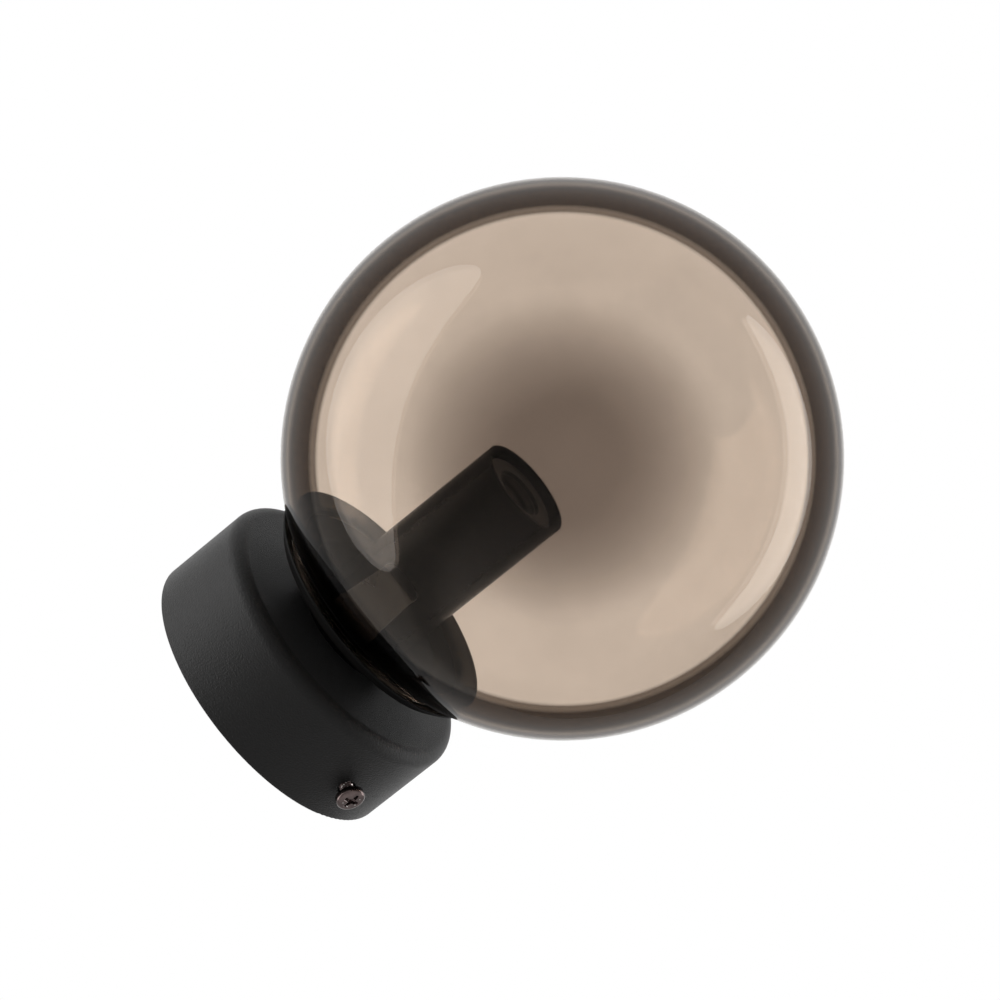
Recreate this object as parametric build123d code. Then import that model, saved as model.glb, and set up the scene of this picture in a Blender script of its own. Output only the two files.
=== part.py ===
from build123d import *
import math
import os

# Globe wall sconce.  Every piece is drawn in a wall frame first: the wall is z = 0, z is the
# distance out from the wall along the lamp's axis, and y points up the wall.  The last step turns
# that frame so that the wall is the plane Y = 0, the lamp points along -Y and +Z is up.
# All lengths are millimetres.

# ---------------------------------------------------------------- driving sizes
# canopy: a drawn steel cup whose open side lies on the wall
CANOPY_RADIUS = 43.0
CANOPY_DEPTH = 29.5
CANOPY_WALL = 1.2
SHOULDER_RADIUS = 4.0
REAR_EDGE_RADIUS = 0.4

# gallery: the black dish between the canopy and the glass, with a brim that turns up to a thin rim
GALLERY_WALL = 1.0
GALLERY_FOOT_RADIUS = 17.0
GALLERY_CUP_RADIUS = 24.0
GALLERY_SEAT_RADIUS = 33.9
GALLERY_RADIUS = 37.6
GALLERY_HEIGHT = 9.6
GALLERY_RIM_RISE = 2.8
GALLERY_RIM_EDGE = 0.6

# globe of blown glass, with a short neck that stands on the gallery's brim
GLOBE_RADIUS = 75.0
GLASS_WALL = 2.0
NECK_BORE_RADIUS = 30.8
NECK_WALL = 2.2
NECK_LENGTH = 1.65
NECK_RIM_ROUNDING = 0.8
GLASS_SEAT_GAP = 0.3

# spring clips: flat leaves whose upright edges bear on the bore of the glass neck
CLIP_COUNT = 2
CLIP_ANGLE = 218.0
CLIP_WIDTH = 14.7
CLIP_THICKNESS = 0.5
CLIP_BELLY = 1.6
CLIP_RISE = 7.9
CLIP_LEAN = 0.3
CLIP_FOOT = 5.0
CLIP_GRIP_GAP = 0.06
RIVET_RADIUS = 1.5
RIVET_HEAD_RADIUS = 1.9
RIVET_HEAD_HEIGHT = 0.7

# sleeve over the lampholder
SLEEVE_RADIUS = 14.35
SLEEVE_WALL = 1.0

# threaded tube that ties canopy, gallery and lampholder together
NIPPLE_RADIUS = 4.95
NIPPLE_BORE_RADIUS = 3.5
NIPPLE_TAIL = 5.8
NIPPLE_GRIP = 6.4
NUT_ACROSS_FLATS = 14.0
NUT_HEIGHT = 2.8
WASHER_RADIUS = 9.0
WASHER_THICKNESS = 0.4
WASHER_TEETH = 16
WASHER_TOOTH_DEPTH = 1.6

# lampholder for a small screw-cap lamp
HOLDER_NUT_GAP = 2.3
HOLDER_RADIUS = 12.4
HOLDER_RECESS = 2.2
HOLDER_BODY_LENGTH = 46.5
HOLDER_CAP_LENGTH = 11.0
HOLDER_WALL = 2.0
HOLDER_CHAMBER_DEPTH = 15.0
HOLDER_FLOOR = 3.0
HOLDER_RIBS = 4
HOLDER_RIB_WIDTH = 1.4
HOLDER_RIB_GAP = 0.3
HOLDER_RIB_MARGIN = 5.25
SHELL_BORE_RADIUS = 6.95
SHELL_WALL = 0.4
SHELL_LENGTH = 18.0
SHELL_RECESS = 1.0
CONTACT_WIDTH = 4.0
CONTACT_THICKNESS = 0.4
CONTACT_RISE = 4.5
CONTACT_BASE = 4.0
HOLDER_TERMINAL_SIZE = 4.0
HOLDER_TERMINAL_HEIGHT = 5.0
HOLDER_TERMINAL_OFFSET = 5.5

# wall bracket: a bent steel strap with a plate across its middle
BRACKET_THICKNESS = 1.5
BRACKET_WIDTH = 16.0
BRACKET_SIDE_GAP = 1.6
BRACKET_BEND = 1.5
EAR_HEIGHT = 17.0
PLATE_LENGTH = 58.0
PLATE_WIDTH = 27.0
PLATE_CORNER = 3.0
WALL_SLOT_SPACING = 50.0
WALL_SLOT_LENGTH = 12.0
WALL_SLOT_RADIUS = 2.25
CABLE_HOLE_RADIUS = 6.5
EAR_COLLAR_RADIUS = 3.0
EAR_COLLAR_LENGTH = 1.5

# side screws that hold the canopy on the bracket's ears
SIDE_SCREW_HEIGHT = 12.0
SIDE_SCREW_RADIUS = 1.95
SIDE_SCREW_HOLE_GAP = 0.65
SIDE_SCREW_STAND_OFF = 2.5
SIDE_SCREW_TIP = 2.2
SIDE_HEAD_RADIUS = 4.0
SIDE_HEAD_HEIGHT = 2.4
SIDE_HEAD_EDGE = 0.7
CROSS_LENGTH = 4.6
CROSS_WIDTH = 1.0
CROSS_DEPTH = 1.3

# terminal block
BLOCK_CENTRE = 20.0
BLOCK_WIDTH = 15.0
BLOCK_HEIGHT = 12.0
POLE_COUNT = 3
POLE_PITCH = 8.0
POLE_HEIGHT = 6.0
INSERT_RADIUS = 2.2
INSERT_BORE_RADIUS = 1.3
INSERT_END_WALL = 1.5
ENTRY_RADIUS = 1.6
CLAMP_SCREW_RADIUS = 1.4
CLAMP_SCREW_SINK = 0.4
CLAMP_SCREW_SPREAD = 3.4
BLOCK_SCREW_RADIUS = 1.45
BLOCK_HEAD_RADIUS = 2.5
BLOCK_HEAD_HEIGHT = 1.6
SLOT_WIDTH = 0.6
SLOT_DEPTH = 0.6

# earth point on the bracket
EARTH_OFFSET = 22.0
EARTH_SCREW_RADIUS = 1.95
EARTH_HEAD_RADIUS = 3.6
EARTH_HEAD_HEIGHT = 2.4
RING_RADIUS = 4.0
RING_THICKNESS = 0.8
CRIMP_RADIUS = 1.5
CRIMP_LENGTH = 5.0
CRIMP_GAP = 0.3

# leads
LEAD_RADIUS = 1.0
LEAD_SPACING = 1.3
LEAD_OVER_CABLE_HOLE = 7.3

# clearances
FIT = 0.05
SCREW_END_GAP = 0.1

# ---------------------------------------------------------------- places along the lamp's axis
CANOPY_INSIDE = CANOPY_DEPTH - CANOPY_WALL
CANOPY_BORE = CANOPY_RADIUS - CANOPY_WALL
NIPPLE_HOLE_RADIUS = NIPPLE_RADIUS + 2 * FIT
GALLERY_FLOOR = CANOPY_DEPTH + GALLERY_WALL
GALLERY_BRIM = CANOPY_DEPTH + GALLERY_HEIGHT
GLASS_EDGE = GALLERY_BRIM + GLASS_SEAT_GAP
NECK_TOP = GLASS_EDGE + NECK_LENGTH
NECK_RADIUS = NECK_BORE_RADIUS + NECK_WALL
GLOBE_CENTRE = NECK_TOP + math.sqrt(GLOBE_RADIUS ** 2 - NECK_RADIUS ** 2)
GLASS_INSIDE = GLOBE_RADIUS - GLASS_WALL
NECK_BORE_TOP = GLOBE_CENTRE - math.sqrt(GLASS_INSIDE ** 2 - NECK_BORE_RADIUS ** 2)
GALLERY_RIM_TOP = GALLERY_BRIM + GALLERY_RIM_RISE
HOLDER_TAIL = GALLERY_FLOOR + NUT_HEIGHT + HOLDER_NUT_GAP
HOLDER_JOINT = HOLDER_TAIL + HOLDER_CAP_LENGTH
HOLDER_MOUTH = HOLDER_JOINT + HOLDER_BODY_LENGTH
SLEEVE_END = HOLDER_MOUTH + HOLDER_RECESS
SLEEVE_BORE_RADIUS = SLEEVE_RADIUS - SLEEVE_WALL
HOLDER_CEILING = HOLDER_JOINT + HOLDER_CHAMBER_DEPTH
SOCKET_FLOOR = HOLDER_CEILING + HOLDER_FLOOR
SHELL_RADIUS = SHELL_BORE_RADIUS + SHELL_WALL
SHELL_TOP = HOLDER_MOUTH - SHELL_RECESS
NIPPLE_BOTTOM = CANOPY_INSIDE - NIPPLE_TAIL
NIPPLE_TOP = HOLDER_TAIL + NIPPLE_GRIP
EAR_FACE = CANOPY_BORE - BRACKET_SIDE_GAP
EAR_BACK = EAR_FACE - BRACKET_THICKNESS
BLOCK_LENGTH = POLE_COUNT * POLE_PITCH
BLOCK_TOP = BRACKET_THICKNESS + BLOCK_HEIGHT
POLE_AXIS = BRACKET_THICKNESS + POLE_HEIGHT
BLOCK_INNER_SIDE = BLOCK_CENTRE - BLOCK_WIDTH / 2
INSERT_LENGTH = BLOCK_WIDTH - 2 * INSERT_END_WALL
LEAD_START = BLOCK_INNER_SIDE + INSERT_END_WALL
TERMINAL_FACE = HOLDER_CEILING - HOLDER_TERMINAL_HEIGHT
CRIMP_START = EARTH_HEAD_RADIUS + CRIMP_GAP - EARTH_OFFSET
CRIMP_END = CRIMP_START + CRIMP_LENGTH
CRIMP_AXIS = BRACKET_THICKNESS + CRIMP_RADIUS

SAME = 0.01


# ---------------------------------------------------------------- helpers
def turned(*profile):
    """A solid of revolution about the lamp's axis from (radius, height) corners."""
    outline = Polyline(*[(radius, 0, height) for radius, height in profile], close=True)
    return revolve(make_face(outline), Axis.Z)


def rod(radius, low, high, x=0.0, y=0.0):
    """A round bar parallel to the lamp's axis."""
    return Pos(x, y, (low + high) / 2) * Cylinder(radius, high - low)


def bar_along_x(radius, start, end, y, z):
    """A round bar parallel to the wall's level direction."""
    return Pos((start + end) / 2, y, z) * Rot(0, 90, 0) * Cylinder(radius, end - start)


def bar_along_y(radius, start, end, z):
    """A round bar parallel to the wall's upright direction, through the lamp's axis."""
    return Pos(0, (start + end) / 2, z) * Rot(90, 0, 0) * Cylinder(radius, abs(end - start))


def round_edges(solid, radius, height):
    """The circular edges of this radius at this height."""
    circles = solid.edges().filter_by(GeomType.CIRCLE)
    level = [edge for edge in circles if abs(edge.arc_center.Z - height) < SAME]
    return [edge for edge in level if abs(edge.radius - radius) < SAME]


def around(solid, count, start_angle=0.0):
    """Copies of a solid spread evenly round the lamp's axis, as one group."""
    step = 360.0 / count
    return [Rot(0, 0, start_angle + step * number) * solid for number in range(count)]


def hex_nut(low):
    """A hexagon nut on the threaded tube."""
    outline = RegularPolygon(NUT_ACROSS_FLATS / 2, 6, major_radius=False)
    blank = Pos(0, 0, low) * extrude(outline, NUT_HEIGHT)
    corner = NUT_ACROSS_FLATS / 2 / math.cos(math.radians(30))
    cone = turned((0, low - corner), (0, low + NUT_HEIGHT), (corner - 0.9, low + NUT_HEIGHT),
                  (corner + NUT_HEIGHT + 0.9, low - corner))
    return (blank & cone) - rod(NIPPLE_RADIUS + FIT, low, low + NUT_HEIGHT)


def lead(points, radii):
    """A round insulated wire along straight runs joined by tangent arcs."""
    route = FilletPolyline(*points, radius=radii)
    section = Plane(origin=route @ 0, z_dir=route % 0) * Circle(LEAD_RADIUS)
    wire = sweep(section, path=route)
    expected = math.pi * LEAD_RADIUS ** 2 * route.length
    print(f"lead: length {route.length:.1f} mm, radii {[round(r, 1) for r in radii]}, "
          f"volume {wire.volume / expected:.4f} of section times length")
    return wire


def widest_radii(points):
    """The largest arc radius that each inner corner's two runs allow."""
    corners = [Vector(*point) for point in points]
    radii = []
    for before, here, after in zip(corners, corners[1:], corners[2:]):
        half_turn = math.radians((here - before).get_angle(after - here)) / 2
        shorter = min((here - before).length, (after - here).length)
        radii.append(0.45 * shorter / math.tan(half_turn))
    return radii


# ---------------------------------------------------------------- outer pieces
def canopy():
    cup = turned((NIPPLE_HOLE_RADIUS, CANOPY_INSIDE), (CANOPY_BORE, CANOPY_INSIDE), (CANOPY_BORE, 0),
                 (CANOPY_RADIUS, 0), (CANOPY_RADIUS, CANOPY_DEPTH), (NIPPLE_HOLE_RADIUS, CANOPY_DEPTH))
    cup = fillet(round_edges(cup, CANOPY_RADIUS, CANOPY_DEPTH), SHOULDER_RADIUS)
    cup = fillet(round_edges(cup, CANOPY_BORE, CANOPY_INSIDE), SHOULDER_RADIUS - CANOPY_WALL)
    cup = fillet(round_edges(cup, CANOPY_RADIUS, 0), REAR_EDGE_RADIUS)
    hole = SIDE_SCREW_RADIUS + SIDE_SCREW_HOLE_GAP
    return cup - bar_along_y(hole, -CANOPY_RADIUS - 1, CANOPY_RADIUS + 1, SIDE_SCREW_HEIGHT)


def gallery():
    cup_inside = GALLERY_CUP_RADIUS - GALLERY_WALL
    foot_inside = GALLERY_FOOT_RADIUS - GALLERY_WALL
    brim_under = GALLERY_BRIM - GALLERY_WALL
    turn_under = GALLERY_SEAT_RADIUS + 0.4 * GALLERY_WALL
    rim_inside = GALLERY_RADIUS - 0.8 * GALLERY_WALL
    rim_under = GALLERY_RIM_TOP - GALLERY_RIM_EDGE
    dish = turned((NIPPLE_HOLE_RADIUS, CANOPY_DEPTH), (GALLERY_FOOT_RADIUS, CANOPY_DEPTH),
                  (GALLERY_CUP_RADIUS, brim_under), (turn_under, brim_under),
                  (GALLERY_RADIUS, rim_under), (GALLERY_RADIUS, GALLERY_RIM_TOP),
                  (rim_inside, GALLERY_RIM_TOP), (GALLERY_SEAT_RADIUS, GALLERY_BRIM),
                  (cup_inside, GALLERY_BRIM), (foot_inside, GALLERY_FLOOR),
                  (NIPPLE_HOLE_RADIUS, GALLERY_FLOOR))
    dish = fillet(round_edges(dish, turn_under, brim_under), 1.5 * GALLERY_WALL)
    dish = fillet(round_edges(dish, GALLERY_CUP_RADIUS, brim_under), 2 * GALLERY_WALL)
    dish = fillet(round_edges(dish, cup_inside, GALLERY_BRIM), GALLERY_WALL)
    dish = fillet(round_edges(dish, GALLERY_SEAT_RADIUS, GALLERY_BRIM), 0.5 * GALLERY_WALL)
    dish = fillet(round_edges(dish, GALLERY_RADIUS, GALLERY_RIM_TOP), 0.25 * GALLERY_WALL)
    for hole in around(rivet_hole(), CLIP_COUNT, CLIP_ANGLE):
        dish -= hole
    return dish


def glass_globe():
    centre = Pos(0, 0, GLOBE_CENTRE)
    ball = centre * Sphere(GLOBE_RADIUS) - rod(GLOBE_RADIUS, NECK_TOP - GLOBE_RADIUS, NECK_TOP)
    glass = ball + rod(NECK_RADIUS, GLASS_EDGE, NECK_TOP)
    glass = fillet(round_edges(glass, NECK_RADIUS, NECK_TOP), NECK_RIM_ROUNDING)
    glass -= centre * Sphere(GLASS_INSIDE)
    glass -= rod(NECK_BORE_RADIUS, GLASS_EDGE, GLOBE_CENTRE)
    rim = round_edges(glass, NECK_RADIUS, GLASS_EDGE) + round_edges(glass, NECK_BORE_RADIUS, GLASS_EDGE)
    return fillet(rim + round_edges(glass, NECK_BORE_RADIUS, NECK_BORE_TOP), NECK_RIM_ROUNDING)


def lamp_sleeve():
    tube = turned((SLEEVE_BORE_RADIUS, GALLERY_FLOOR), (SLEEVE_RADIUS, GALLERY_FLOOR),
                  (SLEEVE_RADIUS, SLEEVE_END), (SLEEVE_BORE_RADIUS, SLEEVE_END))
    return fillet(round_edges(tube, SLEEVE_RADIUS, SLEEVE_END), 0.3 * SLEEVE_WALL)


# ---------------------------------------------------------------- clips that hold the glass
CLIP_FACE = math.sqrt((NECK_BORE_RADIUS - CLIP_GRIP_GAP) ** 2 - (CLIP_WIDTH / 2) ** 2)
CLIP_FOOT_START = CLIP_FACE - CLIP_THICKNESS - CLIP_FOOT
RIVET_PLACE = CLIP_FOOT_START + 0.5 * CLIP_FOOT


def rivet_hole():
    return rod(RIVET_RADIUS + FIT, CANOPY_DEPTH, GALLERY_RIM_TOP, x=RIVET_PLACE)


def glass_clip():
    """A bent leaf: a foot on the brim, a bend out to the glass bore and a lead-in that leans back."""
    foot_top = GALLERY_BRIM + CLIP_THICKNESS
    belly = GLASS_EDGE + CLIP_BELLY
    tip = GALLERY_BRIM + CLIP_RISE
    inside = CLIP_FACE - CLIP_THICKNESS
    outline = Polyline((CLIP_FOOT_START, 0, GALLERY_BRIM), (inside, 0, GALLERY_BRIM),
                       (CLIP_FACE, 0, belly), (CLIP_FACE - CLIP_LEAN, 0, tip),
                       (inside - CLIP_LEAN, 0, tip), (inside, 0, belly + CLIP_THICKNESS / 2),
                       (inside - CLIP_THICKNESS / 2, 0, foot_top),
                       (CLIP_FOOT_START, 0, foot_top), close=True)
    leaf = extrude(make_face(outline), CLIP_WIDTH / 2, both=True, dir=(0, 1, 0))
    return leaf - rivet_hole()


def glass_clips():
    return around(glass_clip(), CLIP_COUNT, CLIP_ANGLE)


def clip_rivets():
    clamp_low = GALLERY_BRIM - GALLERY_WALL
    clamp_high = GALLERY_BRIM + CLIP_THICKNESS
    rivet = rod(RIVET_RADIUS, clamp_low, clamp_high, x=RIVET_PLACE)
    rivet += rod(RIVET_HEAD_RADIUS, clamp_high, clamp_high + RIVET_HEAD_HEIGHT, x=RIVET_PLACE)
    rivet += rod(RIVET_HEAD_RADIUS, clamp_low - RIVET_HEAD_HEIGHT, clamp_low, x=RIVET_PLACE)
    return around(rivet, CLIP_COUNT, CLIP_ANGLE)


# ---------------------------------------------------------------- centre stack
def nipple():
    return rod(NIPPLE_RADIUS, NIPPLE_BOTTOM, NIPPLE_TOP) - rod(NIPPLE_BORE_RADIUS, 0, NIPPLE_TOP)


def lock_washer():
    low = CANOPY_INSIDE - WASHER_THICKNESS
    disc = rod(WASHER_RADIUS, low, CANOPY_INSIDE) - rod(NIPPLE_HOLE_RADIUS, low, CANOPY_INSIDE)
    notch_width = 0.4 * 2 * math.pi * WASHER_RADIUS / WASHER_TEETH
    notch = Box(2 * WASHER_TOOTH_DEPTH, notch_width, 4 * WASHER_THICKNESS)
    for gap in around(Pos(WASHER_RADIUS, 0, low) * notch, WASHER_TEETH):
        disc -= gap
    return disc


def canopy_nut():
    return hex_nut(CANOPY_INSIDE - WASHER_THICKNESS - NUT_HEIGHT)


def gallery_nut():
    return hex_nut(GALLERY_FLOOR)


# ---------------------------------------------------------------- lampholder
def holder_cap():
    inner = HOLDER_RADIUS - HOLDER_WALL
    neck = NIPPLE_RADIUS + FIT
    grip_top = NIPPLE_TOP - 1.0
    return turned((neck, HOLDER_TAIL), (neck + 3.5, HOLDER_TAIL), (HOLDER_RADIUS, HOLDER_TAIL + 4.0),
                  (HOLDER_RADIUS, HOLDER_JOINT), (inner, HOLDER_JOINT), (inner, grip_top + 2.5),
                  (neck, grip_top))


def holder_body():
    chamber = HOLDER_RADIUS - HOLDER_WALL
    bore = SHELL_RADIUS + FIT
    barrel = turned((chamber, HOLDER_JOINT), (HOLDER_RADIUS, HOLDER_JOINT),
                    (HOLDER_RADIUS, HOLDER_MOUTH), (bore, HOLDER_MOUTH), (bore, SOCKET_FLOOR),
                    (0, SOCKET_FLOOR), (0, HOLDER_CEILING), (chamber, HOLDER_CEILING))
    barrel = chamfer(round_edges(barrel, HOLDER_RADIUS, HOLDER_MOUTH), 1.0)
    rib_reach = SLEEVE_BORE_RADIUS - HOLDER_RIB_GAP
    rib_depth = rib_reach - HOLDER_RADIUS + 1.0
    rib = Box(rib_depth, HOLDER_RIB_WIDTH, HOLDER_BODY_LENGTH - 2 * HOLDER_RIB_MARGIN)
    rib_middle = (HOLDER_JOINT + HOLDER_MOUTH) / 2
    for fin in around(Pos(rib_reach - rib_depth / 2, 0, rib_middle) * rib, HOLDER_RIBS, 45):
        barrel += fin
    return barrel


def screw_shell():
    lip = SHELL_TOP - SHELL_LENGTH
    return rod(SHELL_RADIUS, lip, SHELL_TOP) - rod(SHELL_BORE_RADIUS, lip, SHELL_TOP)


def centre_contact():
    """A spring tongue folded up from the socket floor under the lamp's tip."""
    low = SOCKET_FLOOR
    foot = low + CONTACT_THICKNESS
    top = low + CONTACT_RISE
    outline = Polyline((CONTACT_BASE, 0, low), (-CONTACT_BASE, 0, low), (-CONTACT_BASE, 0, foot + 0.4),
                       (0, 0, top), (1.5, 0, top), (1.5, 0, top - CONTACT_THICKNESS),
                       (0.2, 0, top - CONTACT_THICKNESS), (-CONTACT_BASE + 1.0, 0, foot),
                       (CONTACT_BASE, 0, foot), close=True)
    return extrude(make_face(outline), CONTACT_WIDTH / 2, both=True, dir=(0, 1, 0))


def holder_terminals():
    block = Box(HOLDER_TERMINAL_SIZE, HOLDER_TERMINAL_SIZE, HOLDER_TERMINAL_HEIGHT)
    middle = HOLDER_CEILING - HOLDER_TERMINAL_HEIGHT / 2
    return [Pos(0, side * HOLDER_TERMINAL_OFFSET, middle) * block for side in (-1, 1)]


# ---------------------------------------------------------------- wall bracket and its screws
def wall_bracket():
    outline = Polyline((0, -EAR_FACE, EAR_HEIGHT), (0, -EAR_FACE, 0), (0, EAR_FACE, 0),
                       (0, EAR_FACE, EAR_HEIGHT), (0, EAR_BACK, EAR_HEIGHT),
                       (0, EAR_BACK, BRACKET_THICKNESS), (0, -EAR_BACK, BRACKET_THICKNESS),
                       (0, -EAR_BACK, EAR_HEIGHT), close=True)
    strap = extrude(make_face(outline), BRACKET_WIDTH / 2, both=True, dir=(1, 0, 0))
    outer = [edge for edge in strap.edges().filter_by(Axis.X) if abs(edge.center().Z) < SAME]
    strap = fillet(outer, BRACKET_BEND + BRACKET_THICKNESS)
    level = strap.edges().filter_by(Axis.X)
    inner = [edge for edge in level if abs(edge.center().Z - BRACKET_THICKNESS) < SAME]
    strap = fillet([edge for edge in inner if abs(edge.center().Y) > EAR_BACK - SAME], BRACKET_BEND)
    plate = extrude(RectangleRounded(PLATE_LENGTH, PLATE_WIDTH, PLATE_CORNER), BRACKET_THICKNESS)
    bracket = strap + plate
    bracket -= rod(CABLE_HOLE_RADIUS, 0, BRACKET_THICKNESS)
    slot = Rot(0, 0, 90) * SlotOverall(WALL_SLOT_LENGTH, 2 * WALL_SLOT_RADIUS)
    for side in (-1, 1):
        bracket -= Pos(0, side * WALL_SLOT_SPACING / 2, 0) * extrude(slot, BRACKET_THICKNESS)
        bracket += bar_along_y(EAR_COLLAR_RADIUS, side * EAR_BACK,
                               side * (EAR_BACK - EAR_COLLAR_LENGTH), SIDE_SCREW_HEIGHT)
    bracket -= bar_along_y(SIDE_SCREW_RADIUS + FIT, -EAR_FACE, EAR_FACE, SIDE_SCREW_HEIGHT)
    bracket -= rod(EARTH_SCREW_RADIUS + FIT, 0, BRACKET_THICKNESS, x=-EARTH_OFFSET)
    for y in block_screw_places():
        bracket -= rod(BLOCK_SCREW_RADIUS + FIT, 0, BRACKET_THICKNESS, x=BLOCK_CENTRE, y=y)
    return bracket


def cross_head_screw():
    """A pan-head screw that stands upright on the wall frame's origin, head up."""
    reach = CANOPY_RADIUS + SIDE_SCREW_STAND_OFF
    tip = EAR_BACK - EAR_COLLAR_LENGTH - SIDE_SCREW_TIP
    head = Pos(0, 0, reach + SIDE_HEAD_HEIGHT / 2) * Cylinder(SIDE_HEAD_RADIUS, SIDE_HEAD_HEIGHT)
    head = fillet(round_edges(head, SIDE_HEAD_RADIUS, reach + SIDE_HEAD_HEIGHT), SIDE_HEAD_EDGE)
    top = reach + SIDE_HEAD_HEIGHT - CROSS_DEPTH / 2
    head -= Pos(0, 0, top) * Box(CROSS_LENGTH, CROSS_WIDTH, CROSS_DEPTH)
    head -= Pos(0, 0, top) * Box(CROSS_WIDTH, CROSS_LENGTH, CROSS_DEPTH)
    return head + rod(SIDE_SCREW_RADIUS, tip, reach)


def canopy_screws():
    screw = cross_head_screw()
    return [Pos(0, 0, SIDE_SCREW_HEIGHT) * Rot(90 * side, 0, 0) * screw for side in (-1, 1)]


# ---------------------------------------------------------------- terminal block
def pole_places():
    return [(number - (POLE_COUNT - 1) / 2) * POLE_PITCH for number in range(POLE_COUNT)]


def block_screw_places():
    return [-POLE_PITCH / 2, POLE_PITCH / 2]


def terminal_block():
    body = Box(BLOCK_WIDTH, BLOCK_LENGTH, BLOCK_HEIGHT)
    body = chamfer(body.edges().filter_by(Axis.Z), 1.0)
    body = Pos(BLOCK_CENTRE, 0, BRACKET_THICKNESS + BLOCK_HEIGHT / 2) * body
    left = BLOCK_CENTRE - BLOCK_WIDTH / 2
    right = BLOCK_CENTRE + BLOCK_WIDTH / 2
    for y in pole_places():
        body -= bar_along_x(INSERT_RADIUS + FIT, left + INSERT_END_WALL, right - INSERT_END_WALL,
                            y, POLE_AXIS)
        body -= bar_along_x(ENTRY_RADIUS, left, right, y, POLE_AXIS)
        for side in (-1, 1):
            body -= rod(CLAMP_SCREW_RADIUS + 2 * FIT, POLE_AXIS, BLOCK_TOP,
                        x=BLOCK_CENTRE + side * CLAMP_SCREW_SPREAD, y=y)
    for y in block_screw_places():
        body -= rod(BLOCK_SCREW_RADIUS + 2 * FIT, BRACKET_THICKNESS, BLOCK_TOP, x=BLOCK_CENTRE, y=y)
    return body


def terminal_inserts():
    start = BLOCK_CENTRE - INSERT_LENGTH / 2
    end = BLOCK_CENTRE + INSERT_LENGTH / 2
    tubes = []
    for y in pole_places():
        tube = bar_along_x(INSERT_RADIUS, start, end, y, POLE_AXIS)
        tubes.append(tube - bar_along_x(INSERT_BORE_RADIUS, start, end, y, POLE_AXIS))
    return tubes


def slotted_screw(radius, low, high, x, y):
    """A headless clamp screw with a driver slot."""
    slot = Pos(x, y, high - SLOT_DEPTH / 2) * Box(2 * radius, SLOT_WIDTH, SLOT_DEPTH)
    return rod(radius, low, high, x=x, y=y) - slot


def terminal_screws():
    low = POLE_AXIS + INSERT_RADIUS + FIT
    high = BLOCK_TOP - CLAMP_SCREW_SINK
    return [slotted_screw(CLAMP_SCREW_RADIUS, low, high, BLOCK_CENTRE + side * CLAMP_SCREW_SPREAD, y)
            for y in pole_places() for side in (-1, 1)]


def block_screws():
    screws = []
    for y in block_screw_places():
        head = rod(BLOCK_HEAD_RADIUS, BLOCK_TOP, BLOCK_TOP + BLOCK_HEAD_HEIGHT, x=BLOCK_CENTRE, y=y)
        head -= Pos(BLOCK_CENTRE, y, BLOCK_TOP + BLOCK_HEAD_HEIGHT) * Box(
            2 * BLOCK_HEAD_RADIUS, SLOT_WIDTH, 2 * SLOT_DEPTH)
        screws.append(head + rod(BLOCK_SCREW_RADIUS, SCREW_END_GAP, BLOCK_TOP, x=BLOCK_CENTRE, y=y))
    return screws


# ---------------------------------------------------------------- earth point
def earth_ring():
    low = BRACKET_THICKNESS
    ring = rod(RING_RADIUS, low, low + RING_THICKNESS, x=-EARTH_OFFSET)
    crimp = bar_along_x(CRIMP_RADIUS, CRIMP_START, CRIMP_END, 0, CRIMP_AXIS)
    tongue_length = CRIMP_END + EARTH_OFFSET - RING_RADIUS / 2
    tongue = Pos(CRIMP_END - tongue_length / 2, 0, low + RING_THICKNESS / 2) * Box(
        tongue_length, 1.6 * CRIMP_RADIUS, RING_THICKNESS)
    hole = rod(EARTH_SCREW_RADIUS + 2 * FIT, low, low + RING_THICKNESS, x=-EARTH_OFFSET)
    return ring + tongue + crimp - hole


def earth_screw():
    seat = BRACKET_THICKNESS + RING_THICKNESS
    top = seat + EARTH_HEAD_HEIGHT
    head = rod(EARTH_HEAD_RADIUS, seat, top, x=-EARTH_OFFSET)
    head -= Pos(-EARTH_OFFSET, 0, top) * Box(SLOT_WIDTH, 2 * EARTH_HEAD_RADIUS, 2 * SLOT_DEPTH)
    return head + rod(EARTH_SCREW_RADIUS, SCREW_END_GAP, seat, x=-EARTH_OFFSET)


# ---------------------------------------------------------------- leads
def lamp_lead(side):
    """From a terminal through the threaded tube to the lampholder; side is +1 or -1."""
    pole = side * POLE_PITCH
    inside = side * LEAD_SPACING
    outside = side * HOLDER_TERMINAL_OFFSET
    points = [(LEAD_START, pole, POLE_AXIS), (LEAD_START - 9.0, pole - side * 0.5, POLE_AXIS + 0.5),
              (0, inside, POLE_AXIS + 9.0), (0, inside, NIPPLE_TOP + 1.5),
              (0, outside, TERMINAL_FACE - 6.0), (0, outside, TERMINAL_FACE)]
    return lead(points, widest_radii(points))


def earth_lead():
    """From the middle terminal over the cable hole and down to the crimp."""
    points = [(LEAD_START, 0, POLE_AXIS), (CABLE_HOLE_RADIUS, 0, POLE_AXIS),
              (-CABLE_HOLE_RADIUS, 0, LEAD_OVER_CABLE_HOLE), (CRIMP_END + 4.0, 0, CRIMP_AXIS),
              (CRIMP_END, 0, CRIMP_AXIS)]
    return lead(points, widest_radii(points))


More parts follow.
